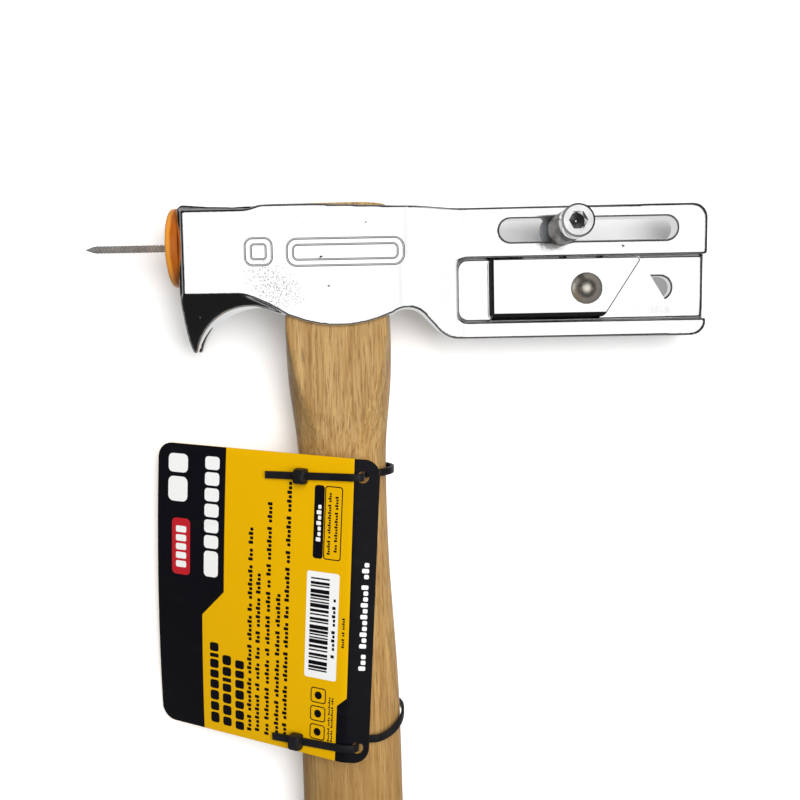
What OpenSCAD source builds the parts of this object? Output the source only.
// Roofing hatchet lying on its side: magnetic poll with claw, hickory handle, sliding gauge,
// clamped trapezoid blade and hang tag.
// +X runs along the head to the blade, +Y up the handle to the head's top, +Z out of the front cheek.
// The origin is where the handle's axis crosses the magnet's axis, dropped to the back cheek.

/* [Head] */
// Distance from the handle's axis to the striking face
poll_l = 49.8; // [48:0.2:52]
// Distance from the handle's axis to the blade end of the head
nose_l = 119.2; // [114:0.2:124]
// Thickness of the head at the poll and the eye
head_t = 26; // [25:0.5:28]
// Thickness of the flat blade section
arm_t = 8.4; // [8:0.2:10]
// Length of the eye along the head
eye_l = 31; // [28:0.5:32]
// Width of the eye across the head
eye_w = 18; // [16:0.5:19]

/* [Gauge] */
// Distance from the handle's axis to the middle of the gauge post
gauge_x = 72.4; // [60:0.2:100]
// Height of the line of the gauge slot above the magnet's axis
gauge_y = 3.5; // [3:0.1:4]
// Width of the gauge slot
slot_w = 7.2; // [6.6:0.1:7.6]
// Outside diameter of the gauge sleeve
sleeve_d = 9.8; // [9.4:0.1:11]
// Height of the gauge sleeve above the blade section
sleeve_h = 20; // [10:0.5:24]

/* [Blade] */
// Distance from the handle's axis to the middle of the clamp bolt
bolt_x = 79.8; // [72:0.2:100]
// Height of the blade slot's line above the magnet's axis, a negative number
bolt_y = -15.5; // [-16:0.1:-15]
// Length of the trapezoid blade along its cutting edge
blade_l = 60; // [58:0.5:61]
// Height of the trapezoid blade
blade_h = 18.6; // [18:0.1:19]
// Thickness of the clamp plate
plate_t = 3.8; // [3.4:0.1:4.2]

/* [Handle] */
// Distance from the magnet's axis to the knob end of the handle
handle_l = 331; // [300:1:380]
// Half width of the handle just below the head
shoulder_r = 17.1; // [16:0.1:18]
// Half width of the handle at its waist
waist_r = 14.2; // [13:0.1:14.5]
// Thickness of the handle divided by its width
flatness = 0.7; // [0.68:0.01:0.7]

/* [Nail] */
// Length of the ring shank nail
nail_l = 32.2; // [25:0.2:38]
// Diameter of the plastic cap
cap_d = 25.4; // [22:0.2:26]

/* [Tag] */
// Width of the hang tag
tag_w = 79; // [70:0.5:81]
// Length of the hang tag along the handle
tag_l = 97; // [96:0.5:110]
// Slope of the hang tag's free part down to its edge, in degrees
tag_slope = 22; // [18:0.5:23]

/* [Hidden] */
$fn = 64;
eps = 0.5;
half_t = head_t / 2;
arm_z = arm_t / 2;

// Heights of the head's edges, measured from the magnet's axis
top_y = 11.3;
arm_bottom_y = -31.3;
recess_top_y = -5.2;
recess_bottom_y = -25.7;
recess_left_x = 38.1;
recess_floor_z = 0.2;
recess_r = 3.6;
face_chamfer = 1.6;
corner_r = 4.6;
claw_half_t = 5;
neck_x = 21;
neck_r = 12;

// Slots in the blade section
slot_left_x = 52;
slot_right_x = 109.4;
blade_slot_left_x = 66.4;
blade_slot_right_x = 108.3;
blade_slot_w = 7;

// Magnet
magnet_d = 10;
magnet_h = 6;
fit_gap = 0.05;

// Handle and wedges
tongue_top_y = 12.7;
tongue_bottom_y = -30;
kerf_depth = 26;
wedge_top_t = 3.4;
wedge_tip_t = 0.8;
wedge_l = 27;
steel_wedge_x = 8;
steel_wedge_w = 11;
steel_wedge_depth = 14;
steel_wedge_t = 1.6;
steel_tip_t = 0.5;
flat_z = 11.4;
flat_end = 64;
mouth_gap = 0.1;
handle_lean = 0.5;
lean_y = -120;

// M6 hardware
bolt_d = 6;
screw_head_d = 10;
screw_head_h = 6;
head_break = 0.6;
hex_key = 5;
hex_depth = 3.4;
drill_point = 1.6;
washer_d = 12.5;
washer_t = 1.2;
washer_hole_d = 6.6;
nut_flats = 10;
nut_h = 5;
spring_t = 1.6;
spring_d = 11.2;
dome_d = 10.3;
dome_h = 3.2;
wing_hub_d = 11;
wing_hub_h = 4;
wing_reach = 11.5;
wing_top = 4.8;
wing_t = 2.2;
bolt_end_z = -12.4;

// Blade and clamp plate
blade_t = 0.65;
blade_right_x = 108.8;
blade_y0 = recess_top_y - 0.2 - blade_h;
end_slant = 11.2;
bevel_w = 2.6;
edge_t = 0.3;
plate_left_x = 48.4;
plate_right_x = 97.2;
plate_short_x = 86.2;
plate_h = 19;
plate_bevel = 1;
plate_corner_r = 1.4;
plate_y0 = recess_top_y - 0.5 - plate_h;
plate_z0 = recess_floor_z + blade_t + 0.05;

// Nail and cap
nail_d = 2.1;
ring_d = 2.6;
ring_pitch = 1.15;
ring_count = 20;
ring_start = 6.4;
nail_point = 2.6;
nail_head_d = 9;
nail_head_t = 1.2;
cap_t = 4.1;
cap_edge = 0.7;
cap_crown = 1.2;
face_gap = 0.05;

// Tag and cable ties
tag_t = 0.6;
tag_right_x = 12.5;
tag_top_y = -68.1;
tag_turn = -3.5;
tag_z = 18;
tag_flat_l = 6;
tag_bend_r = 10;
tag_corner_r = 5;
hole_d = 5;
tie_w = 2.4;
tie_t = 0.9;
tie_block = [4.2, 5, 3.4];
tie_left_x = -12.4;
tie_right_x = 6.9;
upper_tie_y = tag_top_y - 5.3;
upper_tie_r = 10.6;
upper_tie_centre = 5.1;
upper_tie_tail = 12.4;
lower_tie_y = tag_top_y - 92.1;
lower_tie_r = 11.9;
lower_tie_centre = 5.6;
lower_tie_tail = 8.8;
lower_tie_shift = -3.8;
fold_l = tag_flat_l + tag_bend_r * tan(tag_slope / 2);

function arc_points(cx, cy, r, a0, a1, n) = [
  for (i = [0 : n]) [cx + r * cos(a0 + (a1 - a0) * i / n), cy + r * sin(a0 + (a1 - a0) * i / n)]
];

function backwards(points) = [for (p = [len(points) - 1 : -1 : 0]) points[p]];

// Lower edge of the head where the handle enters it
function eye_mouth() = arc_points(0.5, 12.9, 39, -66, -112, 8);

// Side outline of the whole head, from the striking face clockwise over the top
function head_points() = concat(
  [
    [-poll_l, 11.2], [-poll_l + 1.2, 12.6], [-40, 11.8], [-32, 11.5], [-20, 12.2],
    [-10, 12.2], [5, 11.6], [20, 11], [42, 10.9], [72, 11.1]
  ],
  arc_points(nose_l - corner_r, top_y - corner_r, corner_r, 90, 0, 6),
  arc_points(nose_l - corner_r - 0.6, arm_bottom_y + corner_r, corner_r, 0, -90, 6),
  arc_points(38.5, -22.1, 9, -90, -138, 6),
  arc_points(21.9, -28.2, 7.4, 42, 130, 8),
  eye_mouth(),
  arc_points(-27.6, -38.4, 18.9, 84, 166, 10),
  [[-46.7, -34.3], [-47.4, -33.6], [-48.3, -30.5], [-49.1, -24], [-49.7, -15], [-poll_l, -8]]
);

// Half thickness of the head along its length, seen from above
function plan_points(side) = concat(
  [[-poll_l, side * (half_t - face_chamfer)], [-poll_l + face_chamfer, side * half_t], [neck_x, side * half_t]],
  arc_points(neck_x, side * (half_t - neck_r), neck_r, side * 78, side * 50, 3),
  [[36, side * (arm_z + 1)], [39, side * arm_z], [nose_l + 1, side * arm_z]]
);

// Lifts a piece from the head's middle plane to where the back cheek lies on z = 0
module lifted() {
  translate([0, 0, half_t])
    children();
}

module head_outline() {
  polygon(head_points());
}

// Poll and claw, thinned downwards so that the claw is narrow at its tip
module poll_taper() {
  translate([-poll_l - 1, 0, 0])
    rotate([90, 0, 90])
      linear_extrude(poll_l - 14)
        polygon([
          [10.4, half_t], [13, half_t - 2.4], [13, 2.4 - half_t], [10.4, -half_t],
          [-15.1, -half_t], [-34.6, -claw_half_t], [-34.6, claw_half_t], [-15.1, half_t]
        ]);
}

// Region of the full thickness around the eye and of everything towards the blade
module cheek_block() {
  linear_extrude(head_t, center = true)
    polygon([
      [-31.5, -15.1], [-28.5, -16.1], [-25.1, -17.6], [-21.3, -19.4], [-18.2, -21.2], [-15.1, -23.2],
      [-13, -27], [-13, -40], [nose_l + 5, -40], [nose_l + 5, 20], [-24, 20], [-24, 12],
      [-29, 10.4], [-31.5, 10.4]
    ]);
}

module plan_block() {
  rotate([90, 0, 0])
    linear_extrude(80, center = true)
      polygon(concat(plan_points(1), backwards(plan_points(-1))));
}

// A slot along X as one straight part and two round ends
module slot_cut(x0, x1, y, w, z0, z1) {
  translate([x0 + w / 2, y - w / 2, z0])
    cube([x1 - x0 - w, w, z1 - z0]);
  for (x = [x0 + w / 2, x1 - w / 2])
    translate([x, y, z0])
      cylinder(d = w, h = z1 - z0);
}

module eye_shape(l, w) {
  square([l - w, w], center = true);
  for (s = [-1, 1])
    translate([s * (l - w) / 2, 0])
      circle(d = w);
}

// The blade's recess, open towards the nose, with its two inner corners rounded
module recess_cut() {
  r = recess_r;
  difference() {
    translate([recess_left_x, recess_bottom_y, recess_floor_z])
      cube([nose_l - recess_left_x + 2, recess_top_y - recess_bottom_y, arm_t]);
    for (y = [recess_bottom_y, recess_top_y])
      difference() {
        translate([recess_left_x - eps, y - r, recess_floor_z - eps])
          cube([r + eps, 2 * r, arm_t + 2 * eps]);
        translate([recess_left_x + r, y + (y == recess_top_y ? -r : r), recess_floor_z - 2 * eps])
          cylinder(r = r, h = arm_t + 4 * eps);
        translate([recess_left_x - 2 * eps, y + (y == recess_top_y ? -3 * r : r), recess_floor_z - 2 * eps])
          cube([r + 4 * eps, 2 * r, arm_t + 4 * eps]);
      }
  }
}

module claw_notch() {
  translate([-poll_l - 1, 0, 0])
    rotate([90, 0, 90])
      linear_extrude(12)
        polygon([[-36, 2.7], [-36, -2.7], [-26.2, -0.8], [-25.4, 0], [-26.2, 0.8]]);
}

module head() {
  color([0.86, 0.87, 0.88])
    lifted()
    difference() {
      intersection() {
        linear_extrude(head_t, center = true)
          head_outline();
        plan_block();
        union() {
          poll_taper();
          cheek_block();
        }
      }
      rotate([90, 0, 0])
        linear_extrude(60, center = true)
          eye_shape(eye_l, eye_w);
      slot_cut(slot_left_x, slot_right_x, gauge_y, slot_w, -arm_t, arm_t);
      slot_cut(blade_slot_left_x, blade_slot_right_x, bolt_y, blade_slot_w, -arm_t, arm_t);
      recess_cut();
      claw_notch();
      translate([-poll_l - 1, 0, 0])
        rotate([0, 90, 0])
          cylinder(d = magnet_d + 2 * fit_gap, h = magnet_h + 1 + fit_gap);
    }
}

module magnet() {
  color([0.62, 0.63, 0.65])
    lifted()
    translate([-poll_l, 0, 0])
      rotate([0, 90, 0])
        cylinder(d = magnet_d, h = magnet_h);
}

// Half width of the handle at stations measured down from the magnet's axis
function handle_stations() = [
  [15, shoulder_r - 0.9], [27, shoulder_r - 0.5], [35, shoulder_r], [41, shoulder_r - 0.1],
  [48, shoulder_r - 0.8], [56, shoulder_r - 1.6], [64, shoulder_r - 2.5], [72, waist_r + 0.1],
  [84, waist_r], [96, waist_r + 0.1], [108, waist_r + 0.4], [122, waist_r + 1.1],
  [136, waist_r + 1.8], [150, waist_r + 2.3], [168, waist_r + 2.5], [190, waist_r + 2.5],
  [215, waist_r + 1.7], [240, waist_r + 0.7], [265, waist_r + 0.2], [285, waist_r + 0.5],
  [300, waist_r + 1.6], [312, waist_r + 3], [321, waist_r + 3.9], [327, waist_r + 3.7],
  [handle_l - 1.5, waist_r + 2.1], [handle_l, waist_r - 0.6]
];

// Turned and flattened body, leaning a little in the eye
module handle_body() {
  translate([0, lean_y, 0])
    rotate([0, 0, handle_lean])
      translate([0, -lean_y, 0])
        scale([1, 1, flatness])
          rotate([90, 0, 0])
            rotate_extrude()
              polygon(concat([[0, 15]], [for (s = handle_stations()) [s[1], s[0]]], [[0, handle_l]]));
}

// Wedge along the eye, or with a gap the kerf that it is driven into
module wedge_shape(gap) {
  top = tongue_top_y + (gap > 0 ? 1 : 0);
  tip = tongue_top_y - kerf_depth - gap;
  top_t = wedge_top_t / 2 + gap;
  tip_t = wedge_tip_t / 2 + gap;
  rotate([0, 90, 0])
    linear_extrude(wedge_l + 2 * gap, center = true)
      polygon([[-top_t, top], [top_t, top], [tip_t, tip], [-tip_t, tip]]);
}

// Two steel wedges across the wooden one, or with a gap their slits
module steel_wedge_shape(gap) {
  top = tongue_top_y + (gap > 0 ? 1 : 0);
  tip = tongue_top_y - steel_wedge_depth - gap;
  top_t = steel_wedge_t / 2 + gap;
  tip_t = steel_tip_t / 2 + gap;
  for (x = [-steel_wedge_x, steel_wedge_x])
    translate([x, 0, 0])
      linear_extrude(steel_wedge_w + 2 * gap, center = true)
        polygon([[-top_t, top], [top_t, top], [tip_t, tip], [-tip_t, tip]]);
}

module handle() {
  color([0.82, 0.66, 0.45])
    lifted()
    difference() {
      union() {
        difference() {
          handle_body();
          for (s = [-1, 1])
            translate([-30, -flat_end, s * (flat_z + 5) - 5])
              cube([60, flat_end, 10]);
          translate([0, -mouth_gap, 0])
            linear_extrude(head_t + 10, center = true)
              polygon(concat([[-60, 40], [60, 40], [60, -20]], eye_mouth(), [[-60, -20]]));
        }
        translate([0, tongue_top_y, 0])
          rotate([90, 0, 0])
            linear_extrude(tongue_top_y - tongue_bottom_y)
              eye_shape(eye_l - 2 * fit_gap, eye_w - 2 * fit_gap);
      }
      wedge_shape(fit_gap);
      steel_wedge_shape(fit_gap);
    }
}

module wood_wedge() {
  color([0.55, 0.38, 0.22])
    lifted()
    difference() {
      wedge_shape(0);
      steel_wedge_shape(fit_gap);
    }
}

module steel_wedges() {
  color([0.45, 0.46, 0.48])
    lifted()
    steel_wedge_shape(0);
}

// Rings of the shank, each a step out and a cone back
function ring_points() = [
  for (i = [0 : ring_count - 1], back = [0, 1])
    [back == 0 ? ring_d / 2 : nail_d / 2, ring_start + ring_pitch * (i + back * 0.8)]
];

// Ring shank nail, its steel head on the magnet and behind the plastic cap
module nail() {
  color([0.55, 0.56, 0.58])
    lifted()
      translate([-poll_l - face_gap, 0, 0])
        rotate([0, -90, 0])
          rotate_extrude()
            polygon(concat(
              [[0, 0], [nail_head_d / 2, 0], [nail_head_d / 2, nail_head_t], [nail_d / 2, nail_head_t]],
              [[nail_d / 2, ring_start - 0.2]],
              ring_points(),
              [[nail_d / 2, nail_l - nail_point], [0.15, nail_l], [0, nail_l]]
            ));
}

// Cap against the striking face, with a seat for the nail's head
module nail_cap() {
  seat_r = nail_head_d / 2 + fit_gap;
  seat_h = nail_head_t + face_gap;
  bore_r = nail_d / 2 + fit_gap;
  color([0.88, 0.38, 0.08])
    lifted()
      translate([-poll_l - face_gap, 0, 0])
        rotate([0, -90, 0])
          rotate_extrude()
            polygon([
              [seat_r, 0], [cap_d / 2 - cap_edge, 0], [cap_d / 2, cap_edge],
              [cap_d / 2, cap_t - cap_crown], [cap_d / 2 - cap_crown / 4, cap_t - cap_crown / 3],
              [cap_d / 2 - cap_crown, cap_t - cap_crown / 12], [nail_head_d / 2, cap_t], [bore_r, cap_t],
              [bore_r, seat_h], [seat_r, seat_h]
            ]);
}

module gauge_sleeve() {
  color([0.8, 0.81, 0.83])
    lifted()
    translate([gauge_x, gauge_y, arm_z])
      difference() {
        cylinder(d = sleeve_d, h = sleeve_h);
        translate([0, 0, -eps])
          cylinder(d = bolt_d + 0.6, h = sleeve_h + 2 * eps);
      }
}

module gauge_screw() {
  top_z = arm_z + sleeve_h;
  color([0.78, 0.79, 0.81])
    lifted()
    translate([gauge_x, gauge_y, 0])
      difference() {
        union() {
          translate([0, 0, top_z])
            rotate_extrude()
              polygon([
                [0, 0], [screw_head_d / 2, 0], [screw_head_d / 2, screw_head_h - head_break],
                [screw_head_d / 2 - head_break, screw_head_h], [0, screw_head_h]
              ]);
          translate([0, 0, bolt_end_z])
            cylinder(d = bolt_d - 2 * fit_gap, h = top_z - bolt_end_z + eps);
        }
        translate([0, 0, top_z + screw_head_h - hex_depth])
          cylinder(d = hex_key / cos(30), h = hex_depth + eps, $fn = 6);
        translate([0, 0, top_z + screw_head_h - hex_depth - drill_point])
          cylinder(d1 = 0, d2 = hex_key, h = drill_point + 0.01);
      }
}

module flat_washer(x, y, t) {
  translate([x, y, -arm_z - t])
    difference() {
      cylinder(d = washer_d, h = t);
      translate([0, 0, -eps])
        cylinder(d = washer_hole_d, h = t + 2 * eps);
    }
}

module gauge_washer() {
  color([0.7, 0.71, 0.73])
    lifted()
    flat_washer(gauge_x, gauge_y, washer_t);
}

module gauge_nut() {
  color([0.7, 0.71, 0.73])
    lifted()
    translate([gauge_x, gauge_y, -arm_z - washer_t - nut_h])
      difference() {
        cylinder(d = nut_flats / cos(30), h = nut_h, $fn = 6);
        translate([0, 0, -eps])
          cylinder(d = bolt_d, h = nut_h + 2 * eps);
      }
}

// Trapezoid knife blade lying flat in the recess, cutting edge downwards
module blade() {
  color([0.72, 0.74, 0.76])
    lifted()
    difference() {
      translate([0, 0, recess_floor_z])
        linear_extrude(blade_t)
          polygon([
            [blade_right_x, blade_y0], [blade_right_x - end_slant, blade_y0 + blade_h],
            [blade_right_x - blade_l + end_slant, blade_y0 + blade_h], [blade_right_x - blade_l, blade_y0]
          ]);
      translate([bolt_x, bolt_y, 0])
        cylinder(d = bolt_d + 0.4, h = 3 * blade_t);
      for (x = [-6, 6])
        translate([blade_right_x - blade_l / 2 + x - 1.2, blade_y0 + blade_h - 2.2, 0])
          cube([2.4, 3, 3 * blade_t]);
      // Ground bevel towards the cutting edge
      translate([blade_right_x + 1, blade_y0, recess_floor_z])
        rotate([0, -90, 0])
          linear_extrude(blade_l + 2)
            polygon([
              [edge_t, -0.1], [edge_t, 0], [blade_t, bevel_w], [blade_t + 0.1, bevel_w], [blade_t + 0.1, -0.1]
            ]);
    }
}

// Plate that clamps the blade, with a square hole for the bolt's neck and one slanted end
module clamp_plate() {
  r = plate_corner_r;
  top = plate_y0 + plate_h;
  w = 1.2 * plate_bevel;
  color([0.84, 0.85, 0.87])
    lifted()
    difference() {
      translate([0, 0, plate_z0])
        linear_extrude(plate_t)
          polygon(concat(
            arc_points(plate_left_x + r, top - r, r, 180, 90, 4),
            [[plate_right_x - 0.8, top], [plate_right_x, top - 1]],
            arc_points(plate_short_x - 1.8, plate_y0 + 2, 2, -25, -90, 4),
            arc_points(plate_left_x + r, plate_y0 + r, r, -90, -180, 4)
          ));
      translate([bolt_x, bolt_y, 0])
        cube([bolt_d + 0.2, bolt_d + 0.2, 20], center = true);
      // Bevels along the closed end and the lower edge
      translate([plate_left_x, plate_y0 - 1, plate_z0 + plate_t - plate_bevel])
        rotate([-90, 0, 0])
          linear_extrude(plate_h + 2)
            polygon([[-1, -2 * plate_bevel], [w, -2 * plate_bevel], [w, -plate_bevel], [0, 0], [-1, 0]]);
      translate([plate_left_x - 1, plate_y0, plate_z0 + plate_t - plate_bevel])
        rotate([90, 0, 90])
          linear_extrude(plate_h * 3)
            polygon([[-1, 0], [0, 0], [w, plate_bevel], [w, 2 * plate_bevel], [-1, 2 * plate_bevel]]);
    }
}

// Domed bolt with a square neck that keeps it from turning in the plate
module clamp_bolt() {
  seat_z = plate_z0 + plate_t;
  dome_r = (dome_d * dome_d / 4 + dome_h * dome_h) / (2 * dome_h);
  color([0.85, 0.86, 0.88])
    lifted()
    translate([bolt_x, bolt_y, 0])
      union() {
        translate([0, 0, seat_z])
          rotate_extrude()
            polygon(concat(
              [[0, 0]],
              arc_points(0, dome_h - dome_r, dome_r, asin((dome_r - dome_h) / dome_r), 90, 16)
            ));
        translate([-bolt_d / 2, -bolt_d / 2, plate_z0 + 0.2])
          cube([bolt_d, bolt_d, plate_t]);
        translate([0, 0, bolt_end_z])
          cylinder(d = bolt_d - 2 * fit_gap, h = seat_z - bolt_end_z + 0.3);
      }
}

module clamp_washer() {
  color([0.7, 0.71, 0.73])
    lifted()
    flat_washer(bolt_x, bolt_y, washer_t);
}

// Split spring washer
module spring_washer() {
  color([0.6, 0.61, 0.63])
    lifted()
    translate([bolt_x, bolt_y, -arm_z - washer_t - spring_t])
      difference() {
        cylinder(d = spring_d, h = spring_t);
        translate([0, 0, -eps])
          cylinder(d = washer_hole_d, h = spring_t + 2 * eps);
        rotate([0, 0, 200])
          translate([bolt_d / 2, -0.5, -eps])
            cube([bolt_d, 1, spring_t + 2 * eps]);
      }
}

module wing_nut() {
  base_z = -arm_z - washer_t - spring_t;
  color([0.75, 0.76, 0.78])
    lifted()
    translate([bolt_x, bolt_y, base_z])
      rotate([0, 180, 0])
        difference() {
          union() {
            cylinder(d = wing_hub_d, h = wing_hub_h);
            for (a = [0, 180])
              rotate([90, 0, a])
                translate([0, 0, -wing_t / 2])
                  linear_extrude(wing_t)
                    polygon(concat(
                      [[3.6, 0.4], [4.6, 0.4], [wing_reach - 2.4, 1.6]],
                      arc_points(wing_reach - 2.2, wing_top - 2.2, 2.2, -40, 100, 6),
                      [[5, wing_hub_h - 0.2], [3.6, wing_hub_h - 0.2]]
                    ));
          }
          translate([0, 0, -eps])
            cylinder(d = bolt_d, h = wing_hub_h + 2 * eps);
        }
}

// Distance in front of the card's turned fold line, negative on the sloping side
function fold_distance(x, y) = (x - tag_right_x) * cos(tag_turn) + (y - tag_top_y) * sin(tag_turn) + fold_l;

// Height of the card above the head's middle plane, taking the fold as sharp
function card_z(x, y) = tag_z + min(0, fold_distance(x, y)) * tan(tag_slope);

// Section of the card: flat by the handle, then a fold and a straight slope.
// d is half the card's thickness, up or down.
function card_line(d) = concat(
  [[0, d]],
  arc_points(-tag_flat_l, -tag_bend_r, tag_bend_r + d, 90, 90 + tag_slope, 4),
  [[
    -tag_flat_l - tag_bend_r * sin(tag_slope) - (tag_w - tag_flat_l) * cos(tag_slope),
    tag_bend_r * (cos(tag_slope) - 1) - (tag_w - tag_flat_l) * sin(tag_slope) + d / cos(tag_slope)
  ]]
);

module hang_tag() {
  r = tag_corner_r;
  plan_w = tag_flat_l + (tag_w - tag_flat_l) * cos(tag_slope);
  color([0.94, 0.72, 0.05])
    lifted()
      difference() {
        translate([tag_right_x, tag_top_y, tag_z])
          rotate([0, 0, tag_turn])
            intersection() {
              rotate([90, 0, 0])
                linear_extrude(tag_l)
                  polygon(concat(card_line(tag_t / 2), backwards(card_line(-tag_t / 2))));
              translate([0, 0, -60])
                linear_extrude(80)
                  union() {
                    translate([-plan_w + r, -tag_l])
                      square([plan_w - 2 * r, tag_l]);
                    translate([-plan_w, -tag_l + r])
                      square([plan_w, tag_l - 2 * r]);
                    for (x = [-plan_w + r, -r], y = [-tag_l + r, -r])
                      translate([x, y])
                        circle(r = r);
                  }
            }
        for (x = [tie_left_x, tie_right_x]) {
          translate([x, upper_tie_y, -60])
            cylinder(d = hole_d, h = 120);
          translate([x + lower_tie_shift, lower_tie_y, -60])
            cylinder(d = hole_d, h = 120);
        }
      }
}

// A cable tie round the handle: loop under the card, legs through two holes, strap, block and tail on top
module cable_tie(y, inner_r, centre_x, shift_x, tail) {
  left_x = tie_left_x + shift_x;
  right_x = tie_right_x + shift_x;
  lift = tag_t / 2 / cos(tag_slope) + 0.15;
  fold_x = left_x - fold_distance(left_x, y) / cos(tag_turn);
  end_x = right_x + tie_t / 2;
  leg_z0 = inner_r * 0.1;
  tail_x = left_x - tail;
  strap = [
    [tail_x, card_z(tail_x, y) + lift],
    [min(fold_x, right_x), card_z(fold_x, y) + lift],
    [end_x, card_z(right_x, y) + lift]
  ];
  translate([0, y, 0])
    rotate([90, 0, 0]) {
      linear_extrude(tie_w, center = true)
        difference() {
          union() {
            difference() {
              eye_shape(2 * (centre_x + inner_r + tie_t), 2 * (inner_r + tie_t));
              translate([left_x + tie_t / 2, 0])
                square([right_x - left_x - tie_t, 2 * inner_r]);
            }
            for (x = [left_x, right_x])
              translate([x - tie_t / 2, leg_z0])
                square([tie_t, card_z(x, y) + lift + 0.4 - leg_z0]);
            polygon(concat(strap, [for (p = backwards(strap)) [p[0], p[1] + tie_t]]));
          }
          eye_shape(2 * (centre_x + inner_r), 2 * inner_r);
        }
      translate([left_x, card_z(left_x, y) + lift, 0])
        rotate([0, 0, tag_slope])
          translate([-tie_block[0] / 2, 0, -tie_block[1] / 2])
            cube([tie_block[0], tie_block[2], tie_block[1]]);
    }
}

module upper_tie() {
  color([0.08, 0.08, 0.09])
    lifted()
    cable_tie(upper_tie_y, upper_tie_r, upper_tie_centre, 0, upper_tie_tail);
}

module lower_tie() {
  color([0.08, 0.08, 0.09])
    lifted()
    cable_tie(lower_tie_y, lower_tie_r, lower_tie_centre, lower_tie_shift, lower_tie_tail);
}

head();
handle();
wood_wedge();
steel_wedges();
magnet();
nail();
nail_cap();
gauge_sleeve();
gauge_screw();
gauge_washer();
gauge_nut();
blade();
clamp_plate();
clamp_bolt();
clamp_washer();
spring_washer();
wing_nut();
hang_tag();
upper_tie();
lower_tie();
